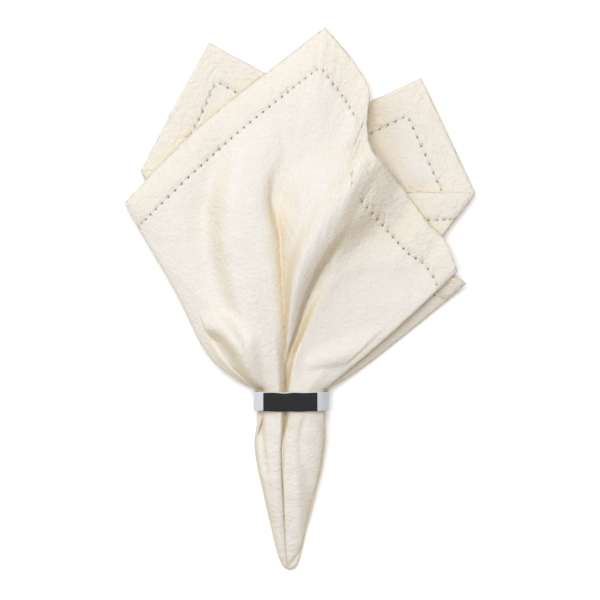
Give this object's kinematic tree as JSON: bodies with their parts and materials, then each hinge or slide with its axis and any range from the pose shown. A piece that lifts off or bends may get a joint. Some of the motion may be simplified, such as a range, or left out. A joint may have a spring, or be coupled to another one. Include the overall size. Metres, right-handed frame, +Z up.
{
  "type": "cloth napkin in a ring",
  "caption": "Hemmed cream cotton napkin gathered at its middle through a flat white ring with a plain dark label; pleated corners fan out above, a pointed tail below.",
  "frame": {"origin": "on the table, under the middle of the ring, on the flat underside of the band", "axes": "+Z up from the table, +Y from the ring towards the fanned corners, +X to the right as the picture shows it"},
  "size_m": [0.2048, 0.317, 0.0268],
  "materials": {
    "cotton": "matt washed cotton",
    "band": "satin white",
    "label": "matt charcoal"
  },
  "bodies": {
    "root": {"napkin": "cotton", "ring_band": "band", "ring_label": "label"}
  },
  "joints": []
}
